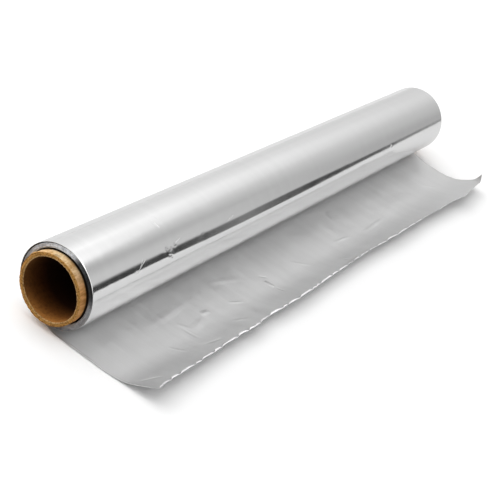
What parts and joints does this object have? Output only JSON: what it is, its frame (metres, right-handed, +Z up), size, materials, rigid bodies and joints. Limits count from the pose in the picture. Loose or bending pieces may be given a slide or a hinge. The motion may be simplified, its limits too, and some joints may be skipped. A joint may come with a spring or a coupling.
{
  "type": "aluminium foil roll",
  "caption": "Roll of household aluminium foil on a thick paper core, lying on its side, with its loose end pulled forward onto the table and its far corner curled up.",
  "frame": {"origin": "on the table, straight below the roll's axis and at the middle of its length", "axes": "+X along the roll's axis, towards the end whose loose corner is curled up; +Z up; the loose end of the foil lies towards -Y"},
  "size_m": [0.307, 0.0707, 0.0345],
  "materials": {
    "core_paper": "spiral-wound brown paper, rubbed at the rims",
    "foil": "bright on the outer side, matte on the inner side"
  },
  "bodies": {
    "root": {"core_tube": "core_paper", "foil_roll": "foil"}
  },
  "joints": []
}
